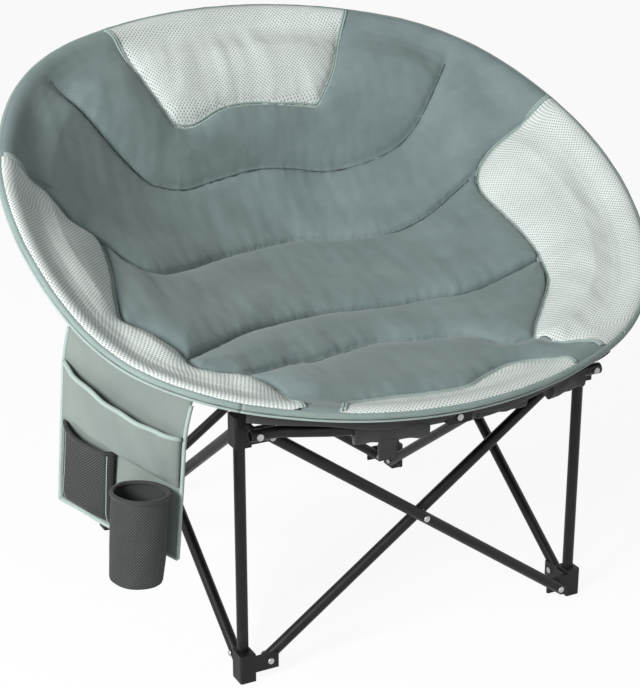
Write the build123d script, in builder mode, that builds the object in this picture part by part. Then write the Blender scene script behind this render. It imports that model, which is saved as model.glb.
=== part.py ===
import os
from math import atan2, cos, degrees, radians, sin, sqrt

from build123d import *

# Folding camping chair with a round padded seat on a four-sided scissor frame.
# Millimetres and degrees, +Z up, the sitter faces -Y, origin on the floor under the middle of the seat.

# Tubes and rivets
tube_diameter = 19.0
tube_wall = 1.5
tube_overhang = 12.0
rivet_diameter = 6.0
rivet_head_diameter = 11.0
rivet_head_height = 2.4
running_clearance = 0.05
side_clearance = 0.3
spacer_thickness = 2.0

# Scissor frame
pivot_half_span = 280.0
pivot_low_z = 30.0
pivot_high_z = 430.0
base_centre_y = 15.0
post_inset_x = 40.0
post_inset_y = 32.0
front_plane_outset = 18.0
side_plane_inset = 12.0

# Moulded corner fittings
wall_thickness = 5.0
wall_half_height = 14.0
wall_end = 14.0
block_outer = 14.0
block_inner = 13.0
foot_floor = 12.0
foot_height = 50.0
socket_clearance = 0.4
bracket_below = 18.0
bracket_above = 34.0
bracket_stem_length = 26.0
post_pad_clearance = 2.0
post_cap_height = 14.0
post_cap_diameter = 22.0

# Front bars below the seat's front edge, hinged to the front brackets
bar_above_pivot = 15.0
bar_root_inset = 8.0
bar_root_gap = 3.0
bar_root_run = 32.0
bar_bend_x = 190.0
bar_bend_drop = 42.0
bar_flat_x = 75.0
bar_bend_radius = 180.0
bar_root_radius = 60.0
bar_centre_y = -400.0
bar_lap = 26.0
hinge_length = 46.0
hinge_height = 20.6
hinge_front = 14.0
sleeve_thickness = 2.6
sleeve_inner_spans = ((-170.0, -52.0), (54.0, 150.0))
sleeve_outer_start = 205.0
sleeve_root_clearance = 27.0

# Seat rim, an oval of tangent arcs on a tilted plane
rim_tilt = 29.3
rim_centre_z = 715.0
rim_half_width = 569.0
rim_half_length = 511.0
rim_corner_radius = 360.0
rim_corner_x = 170.0
rim_corner_w = 105.0
hem_radius = 11.0
soft_gap = 0.4

# Padded bowl: depth under the rim plane along its middle line, from the front edge to the top edge
bowl_depths = (
    (-511.0, 4.0), (-440.0, 24.0), (-340.0, 78.0), (-233.0, 122.0), (-150.0, 148.0), (0.0, 200.0),
    (126.0, 234.0), (200.0, 220.0), (256.0, 176.0), (315.0, 92.0), (400.0, 38.0), (511.0, 4.0),
)
pad_thickness = 34.0
pad_edge_thickness = 12.0
pad_taper = 150.0
seam_sink = 9.0
seat_seam_w = -275.0
back_seams_w = (-160.0, 90.0, 248.0, 325.0)
pad_split_w = -190.0
front_rows_w = (-478.0, -460.0, -440.0, -390.0, -310.0)
back_rows_w = (-175.0, -110.0, -20.0, 126.0, 190.0, 288.0, 360.0, 400.0, 440.0, 460.0, 478.0)
end_row_inset = 3.0

# Mesh side wings, their inner edge and the stretch of rim that they fill
wing_low_w = -420.0
wing_high_w = 160.0
wing_edge = (
    (-420.0, 262.0), (-404.0, 255.0), (-346.0, 264.0), (-292.0, 318.0), (-237.0, 352.0), (-180.0, 390.0),
    (-130.0, 398.0), (-60.0, 393.0), (50.0, 386.0), (97.0, 396.0), (117.0, 430.0), (140.0, 464.0), (160.0, 500.0),
)
wing_rows_w = (-404.0, -346.0, -292.0, -237.0, -180.0, -130.0, -60.0, 50.0, 97.0, 117.0, 140.0)
wing_thickness = 22.0

# Pockets on the seat's back that the rear posts stand in
post_pocket_wall = 3.0
post_pocket_depth = 30.0
post_pocket_sink = 30.0

# Organiser that hangs from the left side of the rim
organiser_w = -286.0
organiser_width = 216.0
organiser_outset = 1.5
organiser_rear_drop = 300.0
organiser_front_drop = 252.0
organiser_corner_radius = 12.0
panel_thickness = 4.0
pocket_wall = 2.5
pocket_inset = 8.0
upper_pocket_top = 0.78
upper_pocket_bottom = 0.54
upper_pocket_bulge = 20.0
flat_pocket_width = 0.48
flat_pocket_top = 0.46
flat_pocket_bottom = 0.03
flat_pocket_bulge = 20.0
bottle_pocket_diameter = 78.0
bottle_pocket_height = 150.0
bottle_pocket_drop = 44.0
bottle_pocket_inset = 6.0

# Values worked out from the sizes above
tube_radius = tube_diameter / 2
tube_bore_radius = tube_radius - tube_wall
rivet_radius = rivet_diameter / 2
rivet_hole_radius = rivet_radius + running_clearance
plane_step = tube_diameter + spacer_thickness + 2 * side_clearance
post_x = pivot_half_span + post_inset_x
post_y = pivot_half_span + post_inset_y
bar_height_z = pivot_high_z + bar_above_pivot
sleeve_outer_span = (sleeve_outer_start, post_x - bar_root_inset - sleeve_root_clearance)
sleeve_spans = (*sleeve_inner_spans, sleeve_outer_span)
front_outer = post_y + front_plane_outset + plane_step / 2
front_inner = front_outer - plane_step
side_outer = post_x - side_plane_inset + plane_step / 2
side_inner = side_outer - plane_step
wall_gap = tube_radius + side_clearance
path_half_width = rim_half_width - hem_radius
path_half_length = rim_half_length - hem_radius
rim_plane = Plane(origin=(0, 0, rim_centre_z), x_dir=(1, 0, 0),
                  z_dir=(0, -sin(radians(rim_tilt)), cos(radians(rim_tilt))))
up = Vector(0, 0, 1)

os.makedirs("parts", exist_ok=True)


def save(part, name):
    part.label = name
    export_step(part, "parts/" + name + ".step")
    print(name, round(part.volume))


def between(pairs, w):
    for (w0, v0), (w1, v1) in zip(pairs, pairs[1:]):
        if w0 <= w <= w1:
            return v0 + (v1 - v0) * (w - w0) / (w1 - w0)
    return pairs[0][1] if w < pairs[0][0] else pairs[-1][1]


# The oval rim: end arcs, corner arcs and side arcs, all tangent
corner_square = rim_corner_x ** 2 + rim_corner_w ** 2
end_reach = path_half_length - rim_corner_radius
side_reach = path_half_width - rim_corner_radius
end_centre = (corner_square - end_reach ** 2) / (2 * (end_reach - rim_corner_w))
side_centre = (corner_square - side_reach ** 2) / (2 * (side_reach - rim_corner_x))
end_radius = path_half_length + end_centre
side_radius = path_half_width + side_centre
end_tangent_w = end_radius * (rim_corner_w + end_centre) / (end_radius - rim_corner_radius) - end_centre
side_tangent_w = side_radius * rim_corner_w / (side_radius - rim_corner_radius)


def rim_half(w, inset=0.0):
    a = abs(w)
    if a > end_tangent_w:
        return sqrt(max((end_radius - inset) ** 2 - (a + end_centre) ** 2, 1.0))
    if a > side_tangent_w:
        return rim_corner_x + sqrt((rim_corner_radius - inset) ** 2 - (a - rim_corner_w) ** 2)
    return sqrt((side_radius - inset) ** 2 - w ** 2) - side_centre


# Scissor tubes: (side, tube on the outer plane, foot corner and head corner as signs of x and y)
scissor_tubes = {
    "front_tube_to_right_head": ("x", False, (-1, -1), (1, -1)),
    "front_tube_to_left_head": ("x", True, (1, -1), (-1, -1)),
    "left_tube_to_rear_head": ("y", True, (-1, -1), (-1, 1)),
    "left_tube_to_front_head": ("y", False, (-1, 1), (-1, -1)),
    "right_tube_to_rear_head": ("y", True, (1, -1), (1, 1)),
    "right_tube_to_front_head": ("y", False, (1, 1), (1, -1)),
    "rear_tube_to_right_head": ("x", True, (-1, 1), (1, 1)),
    "rear_tube_to_left_head": ("x", False, (1, 1), (-1, 1)),
}


def pivot(run, outer, corner, z):
    sx, sy = corner
    if run == "x":
        offset = front_outer if outer else front_inner
        return Vector(sx * pivot_half_span, base_centre_y + sy * offset, z)
    offset = side_outer if outer else side_inner
    return Vector(sx * offset, base_centre_y + sy * pivot_half_span, z)


def rod(start, axis, length, radius):
    with BuildPart() as piece:
        with BuildSketch(Plane(origin=start, z_dir=axis)):
            Circle(radius)
        extrude(amount=length)
    return piece.part


def tube_solid(start, end, overhang, hole_points, hole_axis):
    axis = (end - start).normalized()
    with BuildPart() as tube:
        with BuildSketch(Plane(origin=start - axis * overhang, z_dir=axis)):
            Circle(tube_radius)
            Circle(tube_bore_radius, mode=Mode.SUBTRACT)
        extrude(amount=(end - start).length + 2 * overhang)
        for point in hole_points:
            with BuildSketch(Plane(origin=point - hole_axis * tube_diameter, z_dir=hole_axis)):
                Circle(rivet_hole_radius)
            extrude(amount=2 * tube_diameter, mode=Mode.SUBTRACT)
    return tube.part


def rivet_solid(start, axis, grip):
    with BuildPart() as rivet:
        with BuildSketch(Plane(origin=start - axis * rivet_head_height, z_dir=axis)):
            Circle(rivet_head_diameter / 2)
        extrude(amount=rivet_head_height)
        with BuildSketch(Plane(origin=start, z_dir=axis)):
            Circle(rivet_radius)
        extrude(amount=grip)
        with BuildSketch(Plane(origin=start + axis * grip, z_dir=axis)):
            Circle(rivet_head_diameter / 2)
        extrude(amount=rivet_head_height)
        fillet(rivet.edges().filter_by(GeomType.CIRCLE).sort_by(SortBy.RADIUS)[-4:].sort_by(
            lambda e: (e.center() - start).dot(axis))[0], rivet_head_height * 0.7)
    return rivet.part


def make_scissor_tubes():
    for name, (run, outer, foot, head) in scissor_tubes.items():
        low = pivot(run, outer, foot, pivot_low_z)
        high = pivot(run, outer, head, pivot_high_z)
        hole_axis = Vector(0, 1, 0) if run == "x" else Vector(1, 0, 0)
        save(tube_solid(low, high, tube_overhang, (low, (low + high) / 2, high), hole_axis), name)


def make_cross_rivets():
    mid_z = (pivot_low_z + pivot_high_z) / 2
    grip = 2 * tube_diameter + spacer_thickness + 4 * side_clearance
    mean_front = (front_outer + front_inner) / 2
    mean_side = (side_outer + side_inner) / 2
    places = {
        "front_cross_rivet": (Vector(0, base_centre_y - mean_front, mid_z), Vector(0, 1, 0)),
        "rear_cross_rivet": (Vector(0, base_centre_y + mean_front, mid_z), Vector(0, 1, 0)),
        "left_cross_rivet": (Vector(-mean_side, base_centre_y, mid_z), Vector(1, 0, 0)),
        "right_cross_rivet": (Vector(mean_side, base_centre_y, mid_z), Vector(1, 0, 0)),
    }
    for name, (middle, axis) in places.items():
        rivet = rivet_solid(middle - axis * (grip / 2), axis, grip)
        with BuildPart() as spacer:
            with BuildSketch(Plane(origin=middle - axis * (spacer_thickness / 2), z_dir=axis)):
                Circle(tube_radius)
                Circle(rivet_hole_radius, mode=Mode.SUBTRACT)
            extrude(amount=spacer_thickness)
        save(Compound(children=[rivet, spacer.part]), name)


def wall_span(outer, centre):
    if outer:
        return centre - wall_gap - wall_thickness, centre - wall_gap
    return centre + wall_gap, centre + wall_gap + wall_thickness


def corner_tubes(corner, head):
    found = {}
    for run, outer, foot, top in scissor_tubes.values():
        if (top if head else foot) == corner:
            found[run] = outer
    return found["x"], found["y"]


def box_between(low, high, mode=Mode.ADD):
    size = [h - l for l, h in zip(low, high)]
    with Locations(tuple((h + l) / 2 for l, h in zip(low, high))):
        return Box(*size, mode=mode)


def corner_fitting(corner, head, z_low, z_high, pivot_z):
    sx, sy = corner
    x_outer, y_outer = corner_tubes(corner, head)
    front_wall = wall_span(x_outer, front_outer if x_outer else front_inner)
    side_wall = wall_span(y_outer, side_outer if y_outer else side_inner)

    def span(sign, a, b, centre=0.0):
        return sorted((centre + sign * a, centre + sign * b))

    block_x = span(sx, post_x - block_inner, post_x + block_outer)
    block_y = span(sy, post_y - block_inner, front_wall[1], base_centre_y)
    front_x = span(sx, pivot_half_span - wall_end, post_x + block_outer)
    front_y = span(sy, front_wall[0], front_wall[1], base_centre_y)
    side_x = span(sx, side_wall[0], side_wall[1])
    side_y = span(sy, pivot_half_span - wall_end, front_wall[1], base_centre_y)
    wall_low, wall_high = pivot_z - wall_half_height, pivot_z + wall_half_height
    with BuildPart() as fitting:
        box_between((block_x[0], block_y[0], z_low), (block_x[1], block_y[1], z_high))
        box_between((front_x[0], front_y[0], wall_low), (front_x[1], front_y[1], wall_high))
        box_between((side_x[0], side_y[0], wall_low), (side_x[1], side_y[1], wall_high))
        fillet(fitting.edges().filter_by(Axis.Z).group_by(lambda e: round(abs(e.center().X) * 10))[-1], 4)
        for run, outer in (("x", x_outer), ("y", y_outer)):
            axis = Vector(0, 1, 0) if run == "x" else Vector(1, 0, 0)
            point = pivot(run, outer, corner, pivot_z)
            reach = plane_step + wall_thickness
            with BuildSketch(Plane(origin=point - axis * reach, z_dir=axis)):
                Circle(rivet_hole_radius)
            extrude(amount=2 * reach, mode=Mode.SUBTRACT)
    return fitting.part


def corner_rivets(corner, head, pivot_z):
    x_outer, y_outer = corner_tubes(corner, head)
    sx, sy = corner
    rivets = []
    for run, outer in (("x", x_outer), ("y", y_outer)):
        point = pivot(run, outer, corner, pivot_z)
        outward = Vector(0, sy, 0) if run == "x" else Vector(sx, 0, 0)
        tube_side = tube_radius + side_clearance
        wall_side = wall_gap + wall_thickness
        start = tube_side if outer else wall_side
        rivets.append(rivet_solid(point + outward * start, outward * -1, tube_side + wall_side))
    return rivets


corner_names = {(-1, -1): "front_left", (1, -1): "front_right", (-1, 1): "rear_left", (1, 1): "rear_right"}


def make_feet():
    for corner, name in corner_names.items():
        sx, sy = corner
        body = corner_fitting(corner, False, 0.0, foot_height, pivot_low_z)
        socket = rod((sx * post_x, base_centre_y + sy * post_y, foot_floor), up, foot_height,
                     tube_radius + (socket_clearance if sy < 0 else running_clearance))
        save(body - socket, name + "_foot")
        save(Compound(children=corner_rivets(corner, False, pivot_low_z)), name + "_foot_rivets")


def make_posts():
    for corner, name in corner_names.items():
        sx, sy = corner
        foot = Vector(sx * post_x, base_centre_y + sy * post_y, foot_floor + (side_clearance if sy < 0 else 0.0))
        top_z = pivot_high_z - bracket_below if sy < 0 else rear_post_top
        save(tube_solid(foot, Vector(foot.X, foot.Y, top_z), 0.0, (), up), name + "_post")
        if sy > 0:
            with BuildPart() as cap:
                with BuildSketch(Plane.XY.offset(rear_post_top)):
                    with Locations((foot.X, foot.Y)):
                        Circle(post_cap_diameter / 2)
                extrude(amount=post_cap_height)
                fillet(cap.edges().sort_by(Axis.Z)[-1], post_cap_height * 0.5)
                with BuildSketch(Plane.XY.offset(rear_post_top - bracket_stem_length)):
                    with Locations((foot.X, foot.Y)):
                        Circle(tube_bore_radius - running_clearance)
                extrude(amount=bracket_stem_length)
            save(cap.part, name + "_post_cap")


def bar_root(sx):
    y = base_centre_y - front_outer - tube_radius - bar_root_gap - tube_radius
    return Vector(sx * (post_x - bar_root_inset), y, bar_height_z)


def make_heads():
    block_top = pivot_high_z + bracket_above
    for corner, name in corner_names.items():
        sx, sy = corner
        body = corner_fitting(corner, True, pivot_high_z - bracket_below, block_top, pivot_high_z)
        centre = (sx * post_x, base_centre_y + sy * post_y)
        rivets = corner_rivets(corner, True, pivot_high_z)
        if sy < 0:
            root = bar_root(sx)
            boss_start = Vector(root.X, base_centre_y - post_y, bar_height_z)
            boss_end = root.Y + tube_radius + side_clearance
            stem = rod((*centre, pivot_high_z - bracket_below - bracket_stem_length), up,
                       bracket_stem_length + wall_thickness, tube_bore_radius - running_clearance)
            boss = rod(boss_start, Vector(0, -1, 0), boss_start.Y - boss_end, rivet_head_diameter / 2 + 2)
            pin_hole = rod(Vector(root.X, boss_end - 1, bar_height_z), Vector(0, 1, 0),
                           1 + boss_start.Y - boss_end, rivet_hole_radius)
            body = body + stem + boss - pin_hole
            grip = boss_start.Y - root.Y + tube_radius + side_clearance
            pin = rod(boss_start, Vector(0, -1, 0), grip, rivet_radius)
            cap = rod(boss_start + Vector(0, -grip, 0), Vector(0, -1, 0), rivet_head_height, rivet_head_diameter / 2)
            rivets.append(pin + cap)
            save(body, name + "_bracket")
            save(Compound(children=rivets), name + "_bracket_rivets")
        else:
            bore = rod((*centre, 0), up, rear_post_top, tube_radius + socket_clearance)
            save(body - bore, name + "_slider")
            save(Compound(children=rivets), name + "_slider_rivets")


def bar_path_points(sx):
    root = bar_root(sx)
    lap_y = bar_centre_y + sx * bar_lap / 2
    return [
        root + Vector(sx * tube_overhang, 0, 0),
        root - Vector(sx * bar_root_run, 0, 0),
        Vector(sx * bar_bend_x, root.Y - bar_bend_drop + (bar_lap / 2 if sx > 0 else 0.0), bar_height_z),
        Vector(sx * bar_flat_x, lap_y, bar_height_z),
        Vector(-sx * tube_overhang, lap_y, bar_height_z),
    ]


def bar_sweep(sx, inner, outer):
    with BuildPart() as bar:
        with BuildLine() as path:
            FilletPolyline(*bar_path_points(sx), radius=[bar_root_radius, bar_bend_radius, bar_bend_radius])
        with BuildSketch(Plane(origin=path.line @ 0, z_dir=path.line % 0)):
            Circle(outer)
            Circle(inner, mode=Mode.SUBTRACT)
        sweep()
    return bar.part


def make_front_bars():
    for sx, name in ((-1, "left"), (1, "right")):
        root = bar_root(sx)
        hole = rod(root + Vector(0, tube_diameter, 0), Vector(0, -1, 0), 2 * tube_diameter, rivet_hole_radius)
        save(bar_sweep(sx, tube_bore_radius, tube_radius) - hole, "front_bar_" + name)


def make_front_hinge():
    lap_y = bar_centre_y - bar_lap / 2
    back_y = lap_y + tube_radius
    front_y = lap_y - hinge_front
    with BuildPart() as hinge:
        box_between((-hinge_length / 2, front_y, bar_height_z - hinge_height / 2),
                    (hinge_length / 2, back_y, bar_height_z + hinge_height / 2))
        fillet(hinge.edges().filter_by(Axis.Y), 4)
    tube_room = rod((-hinge_length, lap_y, bar_height_z), Vector(1, 0, 0), 2 * hinge_length,
                    tube_radius + side_clearance)
    save(hinge.part - tube_room, "front_hinge_bracket")
    with BuildPart() as rivet:
        with BuildSketch(Plane(origin=(0, front_y, bar_height_z), z_dir=(0, -1, 0))):
            Circle(rivet_head_diameter / 2)
        extrude(amount=rivet_head_height)
    save(rivet.part, "front_hinge_rivet")


def make_sleeves():
    for number, (x_low, x_high) in enumerate(sleeve_spans, start=1):
        sx = -1 if x_high < 0 else 1
        inner = tube_radius + side_clearance
        whole = bar_sweep(sx, inner, inner + sleeve_thickness)
        reach = rim_half_length
        with BuildPart() as stretch:
            box_between((x_low, -reach, 0), (x_high, 0, reach))
        save((whole & stretch.part).solid(), "bar_sleeve_" + str(number))


def rim_point(side, w):
    return (side * rim_half(w), w)


def side_arcs(side):
    marks = [wing_low_w, -end_tangent_w, -side_tangent_w, side_tangent_w, wing_high_w]
    marks = sorted(m for m in set(marks) if wing_low_w <= m <= wing_high_w)
    for w0, w1 in zip(marks, marks[1:]):
        ThreePointArc(rim_point(side, w0), rim_point(side, (w0 + w1) / 2), rim_point(side, w1))


def end_arcs(sign):
    edge_w = abs(wing_low_w) if sign < 0 else wing_high_w
    marks = sorted(m for m in {edge_w, end_tangent_w, side_tangent_w} if m >= edge_w)
    chain = [(-1, m) for m in marks] + [(1, m) for m in reversed(marks)]
    for (s0, w0), (s1, w1) in zip(chain, chain[1:]):
        middle = (0, sign * path_half_length) if s0 != s1 else rim_point(s0, sign * (w0 + w1) / 2)
        ThreePointArc(rim_point(s0, sign * w0), middle, rim_point(s1, sign * w1))


def make_hems():
    for name, draw in (
        ("rim_hem_front", lambda: end_arcs(-1)),
        ("rim_hem_back", lambda: end_arcs(1)),
        ("rim_hem_left", lambda: side_arcs(-1)),
        ("rim_hem_right", lambda: side_arcs(1)),
    ):
        with BuildPart() as hem:
            with BuildLine(rim_plane) as path:
                draw()
            wire = path.wires()[0]
            with BuildSketch(Plane(origin=wire @ 0, z_dir=wire % 0)):
                Circle(hem_radius)
            sweep(path=wire)
        save(hem.part, name)


def section_plane(w):
    return Plane(origin=rim_plane.from_local_coords((0, w, 0)), x_dir=(1, 0, 0),
                 z_dir=(0, cos(radians(rim_tilt)), sin(radians(rim_tilt))))


def bowl_depth(x, w, inset):
    depth = between(bowl_depths, w)
    half = rim_half(w, inset)
    radius = (half ** 2 + depth ** 2) / (2 * depth)
    return depth - radius + sqrt(radius ** 2 - min(abs(x), half) ** 2)


def edge_inset():
    return hem_radius + soft_gap


def pad_row(w, x_low, x_high, thickness, sink):
    middle = (x_low + x_high) / 2
    low = bowl_depth(x_low, w, edge_inset())
    mid = bowl_depth(middle, w, edge_inset())
    high = bowl_depth(x_high, w, edge_inset())
    swell = thickness - pad_edge_thickness
    with BuildSketch(section_plane(w)) as row:
        with BuildLine():
            ThreePointArc((x_low, low), (middle, mid + sink), (x_high, high))
            Line((x_high, high), (x_high, high + pad_edge_thickness))
            ThreePointArc((x_high, high + pad_edge_thickness), (middle, mid + pad_edge_thickness + swell),
                          (x_low, low + pad_edge_thickness))
            Line((x_low, low + pad_edge_thickness), (x_low, low))
        make_face()
    return row.sketch


def middle_half(w):
    room = rim_half(w, edge_inset())
    if w > wing_high_w or w < wing_low_w:
        return room
    return min(room, between(wing_edge, w) - soft_gap)


def thickness_at(w, end_w):
    share = min(1.0, (end_w - abs(w)) / pad_taper)
    return pad_edge_thickness + 1 + (pad_thickness - pad_edge_thickness) * share


def pad_under_depth(x, w, end_w):
    half = middle_half(w)
    swell = (thickness_at(w, end_w) - pad_edge_thickness) * max(0.0, 1 - (x / half) ** 2)
    return bowl_depth(x, w, edge_inset()) + pad_edge_thickness + swell


# Height of the back pad's underside above a point on the floor, found by halving along the rim plane
def pad_under_z(x, y):
    end_w = path_half_length - edge_inset() - end_row_inset
    low, high = 0.0, end_w
    for step in range(40):
        w = (low + high) / 2
        depth = pad_under_depth(x, w, end_w)
        if w * cos(radians(rim_tilt)) + depth * sin(radians(rim_tilt)) < y:
            low = w
        else:
            high = w
    return rim_centre_z + low * sin(radians(rim_tilt)) - pad_under_depth(x, low, end_w) * cos(radians(rim_tilt))


def middle_pad(name, places, end_w):
    with BuildPart() as pad:
        for w in places:
            sink = seam_sink if w == seat_seam_w or w in back_seams_w else 0.0
            half = middle_half(w)
            add(pad_row(w, -half, half, thickness_at(w, end_w), sink))
        loft(ruled=True)
    save(pad.part, name)
    return pad.part


post_cap_near_y = base_centre_y + post_y - post_cap_diameter / 2
rear_post_top = (pad_under_z(post_x - post_cap_diameter / 2, post_cap_near_y)
                 - post_pad_clearance - post_cap_height)


def make_seat_pad():
    end_w = path_half_length - edge_inset() - end_row_inset
    shared = [w for w in wing_all_rows() if w < pad_split_w]
    split = pad_split_w - soft_gap
    rows = {-end_w, *front_rows_w, *shared, wing_low_w - soft_gap, seat_seam_w, split}
    middle_pad("seat_pad", sorted(rows), end_w)


def make_back_pad():
    end_w = path_half_length - edge_inset() - end_row_inset
    shared = [w for w in wing_all_rows() if w > pad_split_w]
    rows = {pad_split_w, *back_rows_w, *back_seams_w, *shared, wing_high_w + soft_gap, end_w}
    return middle_pad("back_pad", sorted(rows), end_w)


def wing_all_rows():
    seams = [w for w in (seat_seam_w, *back_seams_w, *front_rows_w, *back_rows_w) if wing_low_w < w < wing_high_w]
    split = (pad_split_w - soft_gap, pad_split_w)
    return sorted({wing_low_w, *wing_rows_w, *seams, *split, wing_high_w})


def make_wings():
    for side, name in ((-1, "left_wing"), (1, "right_wing")):
        with BuildPart() as wing:
            for w in wing_all_rows():
                inner = side * between(wing_edge, w)
                outer = side * rim_half(w, edge_inset())
                add(pad_row(w, min(inner, outer), max(inner, outer), wing_thickness, 0.0))
            loft(ruled=True)
        save(wing.part, name)


def make_post_pockets(back_pad):
    pockets = []
    for sx in (-1, 1):
        centre = (sx * post_x, base_centre_y + post_y)
        with BuildPart() as pocket:
            with BuildSketch(Plane.XY.offset(rear_post_top - post_pocket_depth)):
                with Locations(centre):
                    Circle(post_cap_diameter / 2 + soft_gap + post_pocket_wall)
            extrude(amount=post_pocket_depth + post_cap_height + post_pocket_sink)
            with BuildSketch(Plane.XY.offset(rear_post_top - post_pocket_depth)):
                with Locations(centre):
                    Circle(post_cap_diameter / 2 + soft_gap)
            extrude(amount=post_pocket_depth + post_cap_height + soft_gap, mode=Mode.SUBTRACT)
        pockets.append((pocket.part - back_pad).solids().sort_by(Axis.Z)[0])
    save(Compound(children=pockets), "rear_post_pockets")


# The organiser hangs in an upright plane below the rim, X along it from rear to front, Y up, Z outwards
reach_x = rim_half(organiser_w) - rim_corner_x
reach_w = abs(organiser_w) - rim_corner_w
run_x = reach_w
run_y = -reach_x * cos(radians(rim_tilt))
run_z = -reach_x * sin(radians(rim_tilt))
level_run = sqrt(run_x ** 2 + run_y ** 2)
organiser_slope = run_z / level_run
organiser_along = Vector(run_x / level_run, run_y / level_run, 0)
organiser_outward = Vector(run_y / level_run, -run_x / level_run, 0)
hem_under = hem_radius * sqrt(1 + organiser_slope ** 2) + soft_gap
organiser_hang = rim_plane.from_local_coords((-rim_half(organiser_w), organiser_w, 0))
organiser_rear = (organiser_hang - organiser_along * (organiser_width / 2) + organiser_outward * organiser_outset
                  - up * (hem_under + organiser_slope * organiser_width / 2))
organiser_plane = Plane(origin=organiser_rear, x_dir=organiser_along, z_dir=organiser_outward)
front_top = organiser_slope * organiser_width


def panel_bottom(x):
    return -organiser_rear_drop + x / organiser_width * (
        front_top - organiser_front_drop + organiser_rear_drop)


def make_organiser():
    with BuildPart() as panel:
        with BuildSketch(organiser_plane):
            with BuildLine():
                Polyline((0, 0), (organiser_width, front_top), (organiser_width, panel_bottom(organiser_width)),
                         (0, panel_bottom(0)), close=True)
            make_face()
        extrude(amount=panel_thickness)
        fillet(panel.edges().filter_by(Axis((0, 0, 0), organiser_plane.z_dir)), organiser_corner_radius)
    save(panel.part, "organiser_panel")


def pocket_panel(corners, z_low, z_high):
    inner_plane = organiser_plane.offset(panel_thickness + soft_gap + z_low)
    with BuildPart() as panel:
        with BuildSketch(inner_plane):
            with BuildLine():
                Polyline(*corners, close=True)
            make_face()
        extrude(amount=z_high - z_low)
    return panel.part.solid()


# A pocket is sewn from five flat cloth panels: back, front, two side gussets and a floor strip
def sewn_pocket(x_low, x_high, share_low, share_high, bulge, name):
    in_low, in_high = x_low + pocket_wall, x_high - pocket_wall

    def corners(xa, xb, low, high, lift_low=0.0, lift_high=0.0):
        return ((xa, height_at(xa, low) + lift_low), (xb, height_at(xb, low) + lift_low),
                (xb, height_at(xb, high) + lift_high), (xa, height_at(xa, high) + lift_high))

    face = corners(x_low, x_high, share_low, share_high)
    panels = [
        pocket_panel(face, 0.0, pocket_wall),
        pocket_panel(face, bulge - pocket_wall, bulge),
        pocket_panel(corners(x_low, in_low, share_low, share_high), pocket_wall, bulge - pocket_wall),
        pocket_panel(corners(in_high, x_high, share_low, share_high), pocket_wall, bulge - pocket_wall),
        pocket_panel(corners(in_low, in_high, share_low, share_low, 0.0, pocket_wall), pocket_wall, bulge - pocket_wall),
    ]
    save(Compound(children=panels), name)


def height_at(x, share):
    top = front_top * x / organiser_width
    return panel_bottom(x) + (top - panel_bottom(x)) * share


def make_pockets():
    x_low, x_high = pocket_inset, organiser_width - pocket_inset
    x_split = organiser_width * flat_pocket_width
    sewn_pocket(x_low, x_high, upper_pocket_bottom, upper_pocket_top, upper_pocket_bulge, "organiser_upper_pocket")
    sewn_pocket(x_low, x_split, flat_pocket_bottom, flat_pocket_top, flat_pocket_bulge, "organiser_flat_pocket")
    radius = bottle_pocket_diameter / 2
    centre_x = organiser_width - radius - bottle_pocket_inset
    bottom = panel_bottom(centre_x) - bottle_pocket_drop
    centre = organiser_plane.from_local_coords((centre_x, bottom, panel_thickness + soft_gap + radius))
    with BuildPart() as bottle:
        with BuildSketch(Plane(origin=centre, z_dir=(0, 0, 1))):
            Circle(radius)
        extrude(amount=bottle_pocket_height)
        fillet(bottle.edges().sort_by(Axis.Z)[0], radius * 0.4)
        offset(amount=-pocket_wall, openings=bottle.faces().sort_by(Axis.Z)[-1])
    save(bottle.part, "organiser_bottle_pocket")


make_scissor_tubes()
make_cross_rivets()
make_feet()
make_posts()
make_heads()
make_front_bars()
make_front_hinge()
make_sleeves()
make_hems()
make_seat_pad()
seat_back = make_back_pad()
make_wings()
make_post_pockets(seat_back)
make_organiser()
make_pockets()

fold_start = degrees(atan2(pivot_high_z - pivot_low_z, 2 * pivot_half_span))
print("scissor angle at rest", round(fold_start, 3))
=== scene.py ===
import math
import bpy
import numpy as np
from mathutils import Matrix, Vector, noise


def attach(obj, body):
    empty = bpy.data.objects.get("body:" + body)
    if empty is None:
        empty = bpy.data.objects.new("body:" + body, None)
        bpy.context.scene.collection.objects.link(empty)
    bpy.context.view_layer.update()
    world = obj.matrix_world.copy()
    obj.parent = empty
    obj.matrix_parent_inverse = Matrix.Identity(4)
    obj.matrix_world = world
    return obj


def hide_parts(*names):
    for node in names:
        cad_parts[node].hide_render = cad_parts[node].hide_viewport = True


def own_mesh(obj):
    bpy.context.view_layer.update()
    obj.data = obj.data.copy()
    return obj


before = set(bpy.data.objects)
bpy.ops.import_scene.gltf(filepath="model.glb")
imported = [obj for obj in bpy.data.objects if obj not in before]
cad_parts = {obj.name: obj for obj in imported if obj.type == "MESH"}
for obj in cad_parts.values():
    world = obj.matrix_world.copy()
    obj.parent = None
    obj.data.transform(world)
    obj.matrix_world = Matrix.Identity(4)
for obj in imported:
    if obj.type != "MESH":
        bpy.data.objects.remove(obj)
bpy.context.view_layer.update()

tiny = 1e-12  # keeps a division off nought


def linear(hexColour):
    parts = [int(hexColour[i:i + 2], 16) / 255 for i in (1, 3, 5)]
    return tuple(c / 12.92 if c <= 0.04045 else ((c + 0.055) / 1.055) ** 2.4 for c in parts) + (1.0,)


def addNode(tree, kind, values=None, links=None, stops=None, **settings):
    node = tree.nodes.new(kind)
    for key, value in settings.items():
        setattr(node, key, value)
    for key, value in (values or {}).items():
        node.inputs[key].default_value = value
    for key, (source, socket) in (links or {}).items():
        tree.links.new(source.outputs[socket], node.inputs[key])
    if stops:
        for element, (place, colour) in zip(node.color_ramp.elements, stops):
            element.position = place
            element.color = linear(colour)
    return node


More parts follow.
